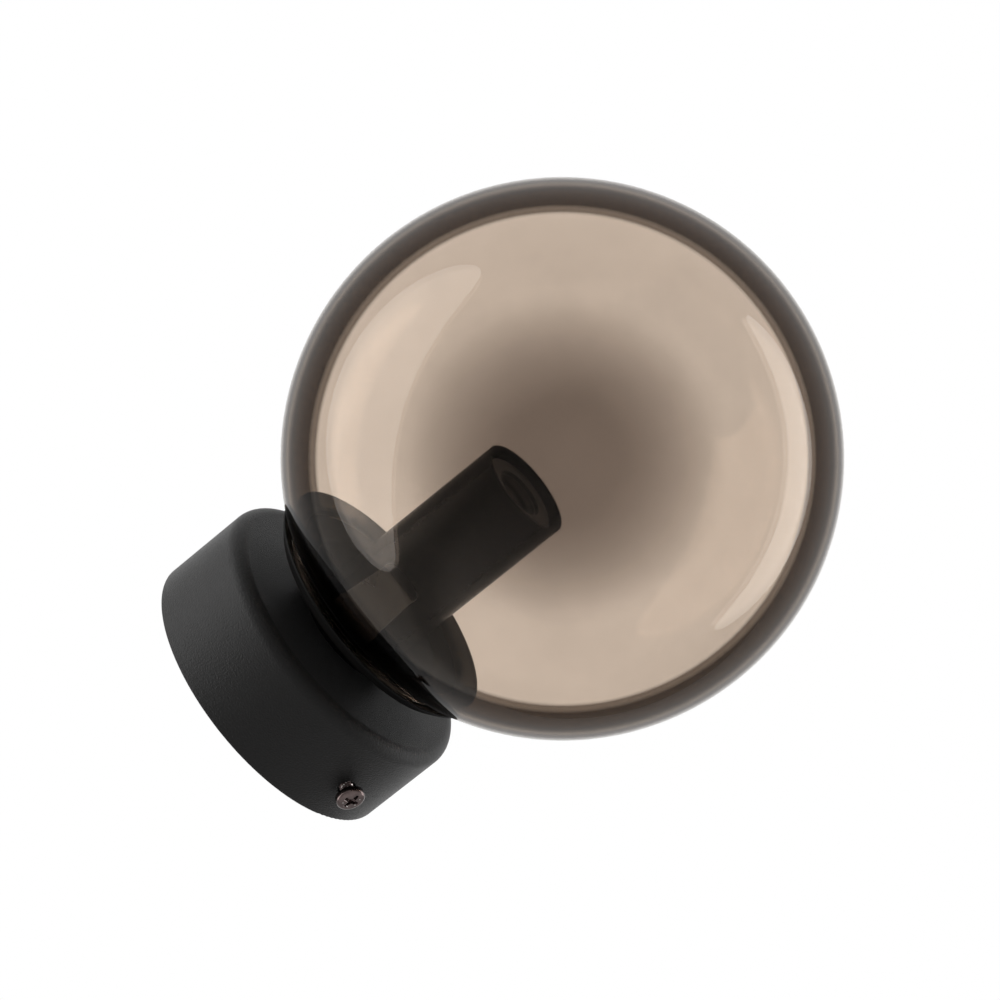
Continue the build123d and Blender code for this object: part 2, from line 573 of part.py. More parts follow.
# ---------------------------------------------------------------- the assembly
def pieces():
    return {
        "wall_bracket": wall_bracket(),
        "canopy": canopy(),
        "canopy_screws": canopy_screws(),
        "gallery": gallery(),
        "glass_globe": glass_globe(),
        "glass_clips": glass_clips(),
        "clip_rivets": clip_rivets(),
        "lamp_sleeve": lamp_sleeve(),
        "nipple": nipple(),
        "lock_washer": lock_washer(),
        "canopy_nut": canopy_nut(),
        "gallery_nut": gallery_nut(),
        "holder_cap": holder_cap(),
        "holder_body": holder_body(),
        "screw_shell": screw_shell(),
        "centre_contact": centre_contact(),
        "holder_terminals": holder_terminals(),
        "terminal_block": terminal_block(),
        "terminal_inserts": terminal_inserts(),
        "terminal_screws": terminal_screws(),
        "block_screws": block_screws(),
        "earth_ring": earth_ring(),
        "earth_screw": earth_screw(),
        "live_lead": lamp_lead(1),
        "neutral_lead": lamp_lead(-1),
        "earth_lead": earth_lead(),
    }


def main():
    os.makedirs("parts", exist_ok=True)
    wall_to_world = Rot(90, 0, 0)
    for name, shape in pieces().items():
        solids = shape if isinstance(shape, list) else [shape]
        turned_solids = [wall_to_world * solid for solid in solids]
        whole = turned_solids[0] if len(turned_solids) == 1 else Compound(children=turned_solids)
        export_step(whole, f"parts/{name}.step")
    print(f"globe centre {GLOBE_CENTRE:.2f} mm from the wall, "
          f"overall reach {GLOBE_CENTRE + GLOBE_RADIUS:.2f} mm")


main()
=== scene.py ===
import math

import bmesh
import bpy
import numpy as np
from bpy.props import FloatProperty, FloatVectorProperty, IntProperty, PointerProperty
from mathutils import Matrix, Vector


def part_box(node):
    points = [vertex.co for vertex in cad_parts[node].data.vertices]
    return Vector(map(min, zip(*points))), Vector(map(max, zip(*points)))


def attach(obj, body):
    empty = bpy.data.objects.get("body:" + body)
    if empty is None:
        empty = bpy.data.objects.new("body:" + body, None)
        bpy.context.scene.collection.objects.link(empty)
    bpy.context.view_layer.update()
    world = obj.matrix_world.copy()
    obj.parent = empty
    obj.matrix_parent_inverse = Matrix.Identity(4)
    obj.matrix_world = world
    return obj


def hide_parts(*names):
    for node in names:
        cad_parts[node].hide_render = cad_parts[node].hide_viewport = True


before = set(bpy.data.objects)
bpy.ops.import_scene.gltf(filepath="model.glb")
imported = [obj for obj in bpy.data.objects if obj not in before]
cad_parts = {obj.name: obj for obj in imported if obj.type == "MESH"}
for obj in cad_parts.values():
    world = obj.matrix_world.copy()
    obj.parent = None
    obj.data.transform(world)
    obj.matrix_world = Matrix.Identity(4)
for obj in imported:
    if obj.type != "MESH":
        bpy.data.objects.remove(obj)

bl_info = {
    "name": "Globe wall sconce",
    "version": (1, 0, 0),
    "blender": (4, 5, 0),
    "location": "View3D > Sidebar > Sconce",
    "description": "Builds the visible pieces and finishes of a wall light round its packed frame",
    "category": "Object",
}

MM = 0.001
TURN = 2 * math.pi
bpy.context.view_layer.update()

# places that the frame gives: the lamp's axis is -Y, and the wall is the plane Y = 0
GLASS_LOW, GLASS_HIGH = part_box("glass_globe")
GLOBE_RADIUS = (GLASS_HIGH.x - GLASS_LOW.x) / 2
GLOBE_CENTRE = -GLASS_LOW.y - GLOBE_RADIUS
GLASS_EDGE = -GLASS_HIGH.y
CLIP_LOW, CLIP_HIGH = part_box("glass_clips")
SCREW_LOW, SCREW_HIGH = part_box("canopy_screws")
SCREW_PLACE = -(SCREW_LOW.y + SCREW_HIGH.y) / 2
SHELL_LOW, SHELL_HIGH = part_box("screw_shell")
TUBE_LOW, TUBE_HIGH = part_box("nipple")

# glass: both balls stop an angle in radians short of the neck, and a rounding joins them to it
BALL_STOP = 0.009
NECK_ROUNDING = 0.45 * MM
OUTER_ROWS, INNER_ROWS, NECK_ROWS, FOOT_ROWS = 150, 140, 8, 17
GLASS_IOR = 1.09

# where the glass colours lie over the wall's slant, from 0 seen straight on to 1 seen edge on:
# a painted dark reflection in the middle, the smoke tint, a limb band of smoke deepened by a
# painted dark reflection, and a painted bright reflection at the rim
MIDDLE_END = 0.02
TINT_RANGE = (0.17, 0.545)
LIMB_RANGE = (0.570, 0.86)
# the rim colour is a painted bright reflection on the outermost edge, where the wall is seen edge
# on
RIM_START, RIM_PAINTED_REFLECTION = 0.92, (0.96, 0.94, 0.91)
CLOUD_SHARE, CLOUD_SWING = 0.06, 0.3

# side screws
HEAD_RADIUS = 4.0 * MM
HEAD_HEIGHT = 2.4 * MM
HEAD_EDGE = 0.9 * MM
CROWN_FALL = 0.25 * MM
SHANK_RADIUS = 1.95 * MM
SCREW_LENGTH = 12.9 * MM
TIP_TAPER = 0.5 * MM
SCREW_THREAD_CUT = 0.33 * MM
RECESS_DEPTH = 1.7 * MM
RECESS_SLOPE = 0.28
RECESS_HALF_WIDTH = 0.82 * MM
RECESS_TAPER = 0.1
RECESS_WALL = 0.22 * MM
RECESS_END = 0.45 * MM
CROWN_ROWS, EDGE_ROWS, THREAD_ROWS, SCREW_COLUMNS = 52, 12, 150, 120

# spring clips
CLIP_THICKNESS = 0.5 * MM
CLIP_REACH = 30.74 * MM
CLIP_FOOT = 5.5 * MM
CLIP_BEND_HEIGHT = 1.9 * MM
CLIP_BEND_OFFSET = 0.5 * MM
CLIP_ROUNDING = 0.7 * MM
CLIP_LEAN = (0.3 * MM, 0.9 * MM)
CLIP_CURL = 1.3 * MM
CLIP_CORNER = 4.6 * MM
CLIP_NARROWING, CLIP_NARROWING_RUN = 1.3 * MM, 2.0 * MM
CLIP_SECTION = (0.18, 0.3)
CLIP_ANGLES = (218.0, 38.0)
BEND_ROWS, CURL_ROWS, TAB_ROWS, CLIP_COLUMNS = 9, 10, 24, 48
END_STEP = 0.02

# threads inside the lampholder and on the tube
SHELL_WALL = 0.4 * MM
SOCKET_DEPTH = 0.55 * MM
SOCKET_FADE = 2.0 * MM
TUBE_BORE = 3.5 * MM
TUBE_CUT = 0.35 * MM
THREAD_MARGIN = 0.3 * MM
CHAMFER = 0.2 * MM
SOCKET_ROWS, SOCKET_COLUMNS = 130, 96
TUBE_ROWS, TUBE_COLUMNS = 220, 72

# finishes
DUST_COLOUR = (0.35, 0.34, 0.32, 1)
SPECK_SIZE = 0.003
EDGE_SHARPNESS = 0.56
EDGE_BREAK_UP = 1.2
DARK_SHARE = 0.7

# stage: directions run from the globe's middle, lengths are in metres
FLOOR_HALF = 6.0
FLOOR_POINTS = 9
FLOOR_WHITE = 0.92
LAMP_DISTANCE = 1.6
LAMP_LEAN = (-0.345, -0.587, 0.732)
LEFT_WAY, LEFT_SIZE, LEFT_SHARE = (-0.686, 0.532, 0.496), (1.2, 3.8), 3.4
RIGHT_WAY, RIGHT_SIZE, RIGHT_SHARE = (0.839, -0.523, -0.143), (0.5, 2.8), 1.3
CAMERA_ANGLES = (-64.07, -37.76, -22.18)
CAMERA_TARGET = (0, -0.1087, 0)
CAMERA_DISTANCE = 1.0638
CAMERA_SHIFT = (-0.01674, -0.01109)
CAMERA_LENS = 143.65


# ---------------------------------------------------------------- surfaces
def grid_object(name, sheets, body, replaced):
    """One smooth object from grids of points: each grid is rows x columns x 3, and its columns run
    round and close on themselves.  A grid marked as a ring closes its last row on its first, and a
    row whose points coincide closes the surface there."""
    points, quads, start = [], [], 0
    for sheet, ring in sheets:
        rows, columns = sheet.shape[:2]
        index = start + np.arange(rows * columns).reshape(rows, columns)
        below = index if ring else index[:-1]
        above = np.roll(index, -1, axis=0) if ring else index[1:]
        corners = (below, np.roll(below, -1, axis=1), np.roll(above, -1, axis=1), above)
        quads.append(np.stack(corners, axis=-1).reshape(-1, 4))
        points.append(sheet.reshape(-1, 3))
        start += rows * columns
    mesh = bpy.data.meshes.new(name)
    mesh.from_pydata(np.concatenate(points).tolist(), [], np.concatenate(quads).tolist())
    shape = bmesh.new()
    shape.from_mesh(mesh)
    bmesh.ops.remove_doubles(shape, verts=shape.verts, dist=1e-7)
    bmesh.ops.recalc_face_normals(shape, faces=shape.faces)
    shape.to_mesh(mesh)
    shape.free()
    mesh.shade_smooth()
    piece = bpy.data.objects.new(name, mesh)
    bpy.context.scene.collection.objects.link(piece)
    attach(piece, body)
    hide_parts(replaced)
    return piece


def arc(centre, radius, start, end, steps):
    """Points of (radius, distance) on a circle, centre + radius * (sin a, cos a) for a from start
    to end."""
    angle = np.linspace(start, end, steps)
    across, along = centre
    return np.stack((across + radius * np.sin(angle), along + radius * np.cos(angle)), axis=1)


def turned(profile, columns):
    """A profile of (radius, distance from the wall) turned round the lamp's axis: x = r cos t,
    y = -distance, z = r sin t."""
    angle = np.linspace(0, TURN, columns, endpoint=False)
    radius, distance = profile[:, :1], profile[:, 1:]
    x, z = radius * np.cos(angle), radius * np.sin(angle)
    return np.stack((x, -distance + 0 * angle, z), axis=-1)


def sink(sheet, radius, depth):
    """Moves the first rows of a turned sheet towards the axis, from a radius, by a depth for each
    row and column: x and z shrink by the share 1 - depth / radius."""
    sheet[:len(depth), :, ::2] *= 1 - depth[:, :, None] / radius
    return sheet


def smooth(value):
    """The smooth step 3 v^2 - 2 v^3 of a value held between 0 and 1."""
    held = np.clip(value, 0, 1)
    return held * held * (3 - 2 * held)


def rounded_path(corners, rounding, steps):
    """A path through corner points whose inner corners are quadratic curves: each curve leaves the
    straight run a rounding's length before the corner and joins the next one as far after it."""
    corners = np.asarray(corners, float)
    share = np.linspace(0, 1, steps)[:, None]
    rest = 1 - share
    runs = [corners[:1]]
    for before, corner, after in zip(corners, corners[1:], corners[2:]):
        enter = corner + (before - corner) * rounding / np.linalg.norm(before - corner)
        leave = corner + (after - corner) * rounding / np.linalg.norm(after - corner)
        runs.append(rest ** 2 * enter + 2 * share * rest * corner + share ** 2 * leave)
    runs.append(corners[-1:])
    return np.concatenate(runs)


def thread_wave(distance, angle, pitch):
    """A rounded helical thread, 0 in its root and 1 on its crest:
    (1 + cos(2 pi distance / pitch - angle)) / 2."""
    return 0.5 + 0.5 * np.cos(TURN * distance / pitch - angle)


# ---------------------------------------------------------------- node helpers
def new_group(name, inputs, outputs):
    """An empty shader node group with named sockets: inputs maps a name to (type, default)."""
    tree = bpy.data.node_groups.new(name, "ShaderNodeTree")
    for label, (kind, default) in inputs.items():
        socket = tree.interface.new_socket(label, in_out="INPUT", socket_type=kind)
        socket.default_value = default
    for label, kind in outputs.items():
        tree.interface.new_socket(label, in_out="OUTPUT", socket_type=kind)
    return tree, tree.nodes.new("NodeGroupInput"), tree.nodes.new("NodeGroupOutput")


def node(tree, kind, links=None, **values):
    """A node with its attributes set; links maps an input to the output or the value it takes."""
    made = tree.nodes.new(kind)
    for name, value in values.items():
        setattr(made, name, value)
    for place, value in (links or {}).items():
        if isinstance(value, bpy.types.NodeSocket):
            tree.links.new(value, made.inputs[place])
        else:
            made.inputs[place].default_value = value
    return made


def maths(tree, operation, first, second=0.5, third=0.5, clamp=False):
    """The output of one Math node."""
    return node(tree, "ShaderNodeMath", {0: first, 1: second, 2: third}, operation=operation,
                use_clamp=clamp).outputs[0]


def mix_colour(tree, share, first, second):
    """The output of a colour mix; each of the three is a socket or a value."""
    links = {0: share, 6: first, 7: second}
    return node(tree, "ShaderNodeMix", links, data_type="RGBA").outputs[2]


def noise(tree, place, size, detail, roughness):
    """The output of a noise whose patches have one size, in metres."""
    scale = maths(tree, "DIVIDE", 1.0, size)
    links = {"Vector": place, "Scale": scale, "Detail": detail, "Roughness": roughness}
    return node(tree, "ShaderNodeTexNoise", links).outputs[0]


def grain_group():
    """Fine surface grain: a noise of one grain size as a height, and one of large patches as a
    mottle."""
    tree, taken, given = new_group(
        "surface_grain",
        {"Grain size": ("NodeSocketFloat", 0.0005), "Patch size": ("NodeSocketFloat", 0.02),
         "Stretch": ("NodeSocketVector", (1.0, 1.0, 1.0))},
        {"Height": "NodeSocketFloat", "Mottle": "NodeSocketFloat"})
    place = node(tree, "ShaderNodeTexCoord").outputs["Object"]
    pulled = node(tree, "ShaderNodeVectorMath", {0: place, 1: taken.outputs["Stretch"]},
                  operation="MULTIPLY").outputs[0]
    fine = noise(tree, pulled, taken.outputs["Grain size"], 3.0, 0.55)
    broad = noise(tree, place, taken.outputs["Patch size"], 4.0, 0.6)
    tree.links.new(fine, given.inputs["Height"])
    tree.links.new(broad, given.inputs["Mottle"])
    return tree


def wear_and_highlight_group():
    """Edge wear and painted edge highlight: a mask that is 1 where the surface bends out sharply
    and the grain is high.
    """
    tree, taken, given = new_group(
        "edge_wear_and_highlight",
        {"Sharpness": ("NodeSocketFloat", 0.55), "Break up": ("NodeSocketFloat", 0.5),
         "Grain": ("NodeSocketFloat", 0.5)},
        {"Mask": "NodeSocketFloat"})
    bend = node(tree, "ShaderNodeNewGeometry").outputs["Pointiness"]
    above = maths(tree, "SUBTRACT", bend, taken.outputs["Sharpness"])
    raised = maths(tree, "MULTIPLY", above, 12.0)
    high = maths(tree, "SUBTRACT", taken.outputs["Grain"], 0.5)
    uneven = maths(tree, "MULTIPLY", high, taken.outputs["Break up"])
    tree.links.new(maths(tree, "ADD", raised, uneven, clamp=True), given.inputs["Mask"])
    return tree


def dust_group():
    """Fine dust: a mask that is strongest on faces that look up and that breaks up with a noise."""
    tree, taken, given = new_group(
        "settled_dust",
        {"Amount": ("NodeSocketFloat", 0.1), "Speck size": ("NodeSocketFloat", 0.002)},
        {"Mask": "NodeSocketFloat"})
    facing = node(tree, "ShaderNodeSeparateXYZ",
                  {0: node(tree, "ShaderNodeNewGeometry").outputs["Normal"]}).outputs[2]
    upward = maths(tree, "MULTIPLY_ADD", facing, 0.5, 0.5, clamp=True)
    place = node(tree, "ShaderNodeTexCoord").outputs["Object"]
    specks = noise(tree, place, taken.outputs["Speck size"], 5.0, 0.7)
    cut = maths(tree, "MULTIPLY", maths(tree, "SUBTRACT", specks, 0.45), 4.0, clamp=True)
    mask = maths(tree, "MULTIPLY", maths(tree, "MULTIPLY", upward, cut), taken.outputs["Amount"])
    tree.links.new(mask, given.inputs["Mask"])
    return tree


def material(name):
    """A new node material, with its tree and its shader."""
    made = bpy.data.materials.new(name)
    made.use_nodes = True
    tree = made.node_tree
    shader = next(item for item in tree.nodes if item.type == "BSDF_PRINCIPLED")
    return made, tree, shader


def place_group(tree, name, make, values):
    """A shared group placed with its own values; it is made the first time it is asked for."""
    return node(tree, "ShaderNodeGroup", values, node_tree=bpy.data.node_groups.get(name) or make())


def finish_material(name, colour, darker, rough, rough_spread, metallic=0.0, grain=0.0004,
                    patch=0.015, bump=0.00002, bump_strength=0.3, stretch=(1.0, 1.0, 1.0),
                    wear_and_highlight=None, wear_and_highlight_share=0.5, dust=0.05, specular=0.5, sheen=0.0):
    """A solid finish: its colour mottled towards a darker one, grain in bump and roughness, wear on
    edges towards a second colour, which on the screws and clips is also a painted highlight, and a
    little dust."""
    made, tree, shader = material(name)
    grained = place_group(tree, "surface_grain", grain_group,
                          {"Grain size": grain, "Patch size": patch, "Stretch": stretch})
    tone = mix_colour(tree, grained.outputs["Mottle"], (*darker, 1), (*colour, 1))
    if wear_and_highlight:
        worn_and_lit_edges = place_group(tree, "edge_wear_and_highlight", wear_and_highlight_group,
                           {"Sharpness": EDGE_SHARPNESS, "Break up": EDGE_BREAK_UP,
                            "Grain": grained.outputs["Height"]})
        share = maths(tree, "MULTIPLY", worn_and_lit_edges.outputs["Mask"], wear_and_highlight_share)
        tone = mix_colour(tree, share, tone, (*wear_and_highlight, 1))
    dusty = place_group(tree, "settled_dust", dust_group,
                        {"Amount": dust, "Speck size": SPECK_SIZE}).outputs["Mask"]
    tone = mix_colour(tree, dusty, tone, DUST_COLOUR)
    tree.links.new(tone, shader.inputs["Base Color"])
    swing = maths(tree, "MULTIPLY_ADD", grained.outputs["Mottle"], rough_spread,
                  rough - rough_spread / 2)
    tree.links.new(maths(tree, "ADD", swing, dusty, clamp=True), shader.inputs["Roughness"])
    raise_grain(tree, shader, grained, bump_strength, bump)
    shader.inputs["Metallic"].default_value = metallic
    shader.inputs["Specular IOR Level"].default_value = specular
    shader.inputs["Sheen Weight"].default_value = sheen
    return made


def raise_grain(tree, shader, grained, strength, height):
    """Puts the grain's height into the shader's normal."""
    raised = node(tree, "ShaderNodeBump", {"Strength": strength, "Distance": height,
                                           "Height": grained.outputs["Height"]})
    tree.links.new(raised.outputs[0], shader.inputs["Normal"])


def dress(names, made):
    """Gives one material to CAD nodes, which keep their meshes."""
    for name in names:
        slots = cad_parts[name].data.materials
        slots.clear()
        slots.append(made)


# ---------------------------------------------------------------- settings
class GlobeSettings(bpy.types.PropertyGroup):
    """Blown glass"""
    wall: FloatProperty(name="Glass wall", description="Thickness of the blown wall",
                        default=2.0 * MM, unit="LENGTH")
    neck_bore: FloatProperty(name="Neck bore", description="Inner radius of the neck",
                             default=30.8 * MM, unit="LENGTH")
    neck_wall: FloatProperty(name="Neck wall", description="Thickness of the neck's wall",
                             default=2.2 * MM, unit="LENGTH")
    neck_length: FloatProperty(name="Neck length", description="Height of the neck under the ball",
                               default=1.65 * MM, unit="LENGTH")
    tint: FloatVectorProperty(name="Smoke tint", description="Smoke colour of the wall",
                              default=(0.775, 0.695, 0.620), subtype="COLOR")
    # painted dark reflection in the middle of the ball, where the wall is seen straight on
    middle: FloatVectorProperty(name="Middle reflection",
                                description="Painted dark reflection where the wall is seen straight on",
                                default=(0.42, 0.36, 0.315), subtype="COLOR")
    # darker smoke where the wall is seen at a slant, deepened by a painted dark reflection; random
    # clouds also mix it in
    limb: FloatVectorProperty(name="Limb smoke and reflection",
                              description="Smoke seen at a slant, deepened by a painted dark reflection",
                              default=(0.045, 0.030, 0.020), subtype="COLOR")
    mirror: FloatProperty(name="Mirror share", description="Share of the mirror coat",
                          default=0.014, min=0.0, max=1.0, subtype="FACTOR")
    columns: IntProperty(name="Columns", description="Faces round the ball", default=256,
                         subtype="UNSIGNED")


class MetalSettings(bpy.types.PropertyGroup):
    """Screws, threads and clips"""
    screw_recess: FloatProperty(name="Recess reach",
                                description="Half the length of the cross recess",
                                default=2.6 * MM, unit="LENGTH")
    screw_pitch: FloatProperty(name="Screw pitch", description="Pitch of the side screws' thread",
                               default=0.7 * MM, unit="LENGTH")
    tube_pitch: FloatProperty(name="Tube pitch", description="Pitch of the threaded tube",
                              default=1.0 * MM, unit="LENGTH")
    socket_pitch: FloatProperty(name="Socket pitch", description="Pitch of the lamp cap's thread",
                                default=2.82 * MM, unit="LENGTH")
    clip_width: FloatProperty(name="Clip width", description="Width of a spring leaf",
                              default=14.7 * MM, unit="LENGTH")
    clip_reach: FloatProperty(name="Clip reach",
                              description="How far a leaf goes on past the solid's end",
                              default=13.5 * MM, unit="LENGTH")
    clip_tab: FloatProperty(name="Clip tab",
                            description="Length of the tab that fingers press inwards",
                            default=6.5 * MM, unit="LENGTH")


class CoatSettings(bpy.types.PropertyGroup):
    """Black finishes"""
    coat: FloatVectorProperty(name="Powder coat", description="Colour of canopy and gallery",
                              default=(0.006, 0.0057, 0.0055), subtype="COLOR")
    sleeve: FloatVectorProperty(name="Sleeve", description="Colour of the lampholder's sleeve",
                                default=(0.003, 0.003, 0.0032), subtype="COLOR")


class StageSettings(bpy.types.PropertyGroup):
    """Floor and light"""
    floor_level: FloatProperty(name="Floor level",
                               description="Height of the floor from the lamp's axis",
                               default=-1.3, unit="LENGTH")
    world_light: FloatProperty(name="World light", description="Strength of the even light",
                               default=0.65, min=0.0, max=1.0, subtype="FACTOR")
    softbox: FloatProperty(name="Softbox power",
                           description="Power that each soft lamp's share is a multiple of",
                           default=14.0, unit="POWER")


# ---------------------------------------------------------------- pieces
class SCONCE_OT_globe(bpy.types.Operator):
    """Smoked glass ball with a short neck and fire-polished rim"""
    bl_idname = "sconce.globe"
    bl_label = "Glass globe"

    def execute(self, context):
        """The profile runs from the outer front pole round the ball, down the neck, round its rim,
        up the bore and round the inner ball to the inner pole; turned, it is one closed skin."""
        chosen = context.scene.sconce_globe
        outer, inner = GLOBE_RADIUS, GLOBE_RADIUS - chosen.wall
        neck, bore = chosen.neck_bore + chosen.neck_wall, chosen.neck_bore
        neck_top = GLASS_EDGE + chosen.neck_length
        centre = (0.0, GLOBE_CENTRE)
        rim = chosen.neck_wall / 2
        outer_end = math.pi - math.asin(neck / outer)
        inner_end = math.pi - math.asin(bore / inner)
        outer_ball = arc(centre, outer, 0.0, outer_end - BALL_STOP, OUTER_ROWS)
        inner_ball = arc(centre, inner, inner_end - BALL_STOP, 0.0, INNER_ROWS)
        joint = rounded_path([outer_ball[-1], (neck, neck_top), (neck, GLASS_EDGE + rim)],
                             NECK_ROUNDING, NECK_ROWS)[1:-1]
        foot = arc((bore + rim, GLASS_EDGE + rim), rim, math.pi / 2, 3 * math.pi / 2, FOOT_ROWS)
        inner_top = GLOBE_CENTRE + inner * math.cos(inner_end)
        mouth = rounded_path([foot[-1], (bore, inner_top), inner_ball[0]],
                             NECK_ROUNDING, NECK_ROWS)[1:-1]
        profile = np.concatenate((outer_ball, joint, foot, mouth, inner_ball))
        profile[0, 0] = profile[-1, 0] = 0.0
        piece = grid_object("globe_glass", [(turned(profile, chosen.columns), False)], "globe",
                            "glass_globe")
        piece.data.materials.append(self.glass(chosen))
        return {"FINISHED"}

    def glass(self, chosen):
        """Smoked glass with a thin mirror coat. Its colour follows the wall's slant: a painted dark
        reflection in the middle, where the wall is seen straight on, and a band near the edge,
        where it is seen at a slant, of smoke deepened by a painted dark reflection, with a painted
        bright reflection right at the edge."""
        made, tree, shader = material("smoked_glass")
        slant = node(tree, "ShaderNodeLayerWeight", {"Blend": 0.5}).outputs["Facing"]
        band = node(tree, "ShaderNodeValToRGB", {0: slant})
        first, last = band.color_ramp.elements
        # first stop: painted dark reflection in the middle; last stop: painted bright reflection at
        # the rim
        first.position, first.color = MIDDLE_END, (*chosen.middle, 1)
        last.position, last.color = RIM_START, (*RIM_PAINTED_REFLECTION, 1)
        for places, colour in ((TINT_RANGE, chosen.tint), (LIMB_RANGE, chosen.limb)):
            for place in places:
                band.color_ramp.elements.new(place).color = (*colour, 1)
        mottle = place_group(tree, "surface_grain", grain_group,
                             {"Grain size": 0.004, "Patch size": 0.05}).outputs["Mottle"]
        clouded = maths(tree, "MULTIPLY", maths(tree, "SUBTRACT", mottle, 0.5), CLOUD_SWING)
        share = maths(tree, "ADD", clouded, CLOUD_SHARE, clamp=True)
        tone = mix_colour(tree, share, band.outputs[0], (*chosen.limb, 1))
        tree.links.new(tone, shader.inputs["Base Color"])
        shader.inputs["Roughness"].default_value = 0.0
        shader.inputs["Metallic"].default_value = chosen.mirror
        shader.inputs["Transmission Weight"].default_value = 1.0
        shader.inputs["IOR"].default_value = GLASS_IOR
        return made


class SCONCE_OT_side_screws(bpy.types.Operator):
    """Two pan-head screws with cross recesses and cut threads"""
    bl_idname = "sconce.side_screws"
    bl_label = "Side screws"

    def execute(self, context):
        screw = self.screw(context.scene.sconce_metal)
        x, y, out = screw[..., 0], screw[..., 1], screw[..., 2]
        upper = np.stack((x, y - SCREW_PLACE, out), axis=-1)
        lower = np.stack((x, -y - SCREW_PLACE, -out), axis=-1)
        piece = grid_object("side_screws", [(upper, False), (lower, False)], "fixture",
                            "canopy_screws")
        # the bright edge colour is edge wear, and on the head's rim also a painted highlight
        piece.data.materials.append(finish_material(
            "dark_nickel", (0.15, 0.115, 0.11), (0.018, 0.012, 0.012), 0.22, 0.25, metallic=1.0,
            grain=0.0006, patch=0.0026, bump=0.00005, bump_strength=0.7, wear_and_highlight=(0.90, 0.88, 0.85),
            wear_and_highlight_share=0.9, dust=0.0))
        return {"FINISHED"}

    def screw(self, chosen):
        """A screw standing on its axis: rows run out over the head's crown, down its rounded side,
        in under it and down the thread.  The crown falls as the square of the radius, less the
        recess: two crossed troughs, deepest in the middle, with soft walls."""
        top = SCREW_HIGH.z
        under, tip = top - HEAD_HEIGHT, top - SCREW_LENGTH
        flat = HEAD_RADIUS - HEAD_EDGE
        crown = np.stack((np.linspace(0, flat, CROWN_ROWS), np.zeros(CROWN_ROWS)), axis=1)
        crown[:, 1] = top - CROWN_FALL * (crown[:, 0] / HEAD_RADIUS) ** 2
        side = arc((flat, crown[-1, 1] - HEAD_EDGE), HEAD_EDGE, 0.12, math.pi / 2, EDGE_ROWS)
        below = np.array([(HEAD_RADIUS, under + 0.2 * MM), (HEAD_RADIUS - 0.15 * MM, under),
                          (SHANK_RADIUS, under)])
        run = np.linspace(under - 0.05 * MM, tip + TIP_TAPER, THREAD_ROWS)
        thread = np.stack((np.full(THREAD_ROWS, SHANK_RADIUS), run), axis=1)
        end = np.array([(SHANK_RADIUS - TIP_TAPER, tip), (0.0, tip)])
        profile = np.concatenate((crown, side, below, thread, end))
        angle = np.linspace(0, TURN, SCREW_COLUMNS, endpoint=False)
        radius = np.repeat(profile[:, :1], SCREW_COLUMNS, axis=1)
        out = np.repeat(profile[:, 1:], SCREW_COLUMNS, axis=1)
        x, y = radius * np.cos(angle), radius * np.sin(angle)
        trough = np.maximum(self.trough(x, y, chosen), self.trough(y, x, chosen))
        row = np.arange(len(profile))[:, None]
        depth = trough * (RECESS_DEPTH - RECESS_SLOPE * radius)
        out = out - np.where(row < len(crown), depth, 0)
        thread_start = len(crown) + len(side) + len(below)
        on_thread = (row >= thread_start) & (row < thread_start + len(thread))
        cut = SCREW_THREAD_CUT * (1 - thread_wave(out, angle, chosen.screw_pitch))
        radius = np.where(on_thread, radius - cut, radius)
        return np.stack((radius * np.cos(angle), radius * np.sin(angle), out), axis=-1)

    def trough(self, along, across, chosen):
        """One trough of the recess: 1 inside and 0 outside, with smooth walls."""
        half_width = RECESS_HALF_WIDTH - RECESS_TAPER * np.abs(along)
        return (smooth((half_width - np.abs(across)) / RECESS_WALL)
                * smooth((chosen.screw_recess - np.abs(along)) / RECESS_END))


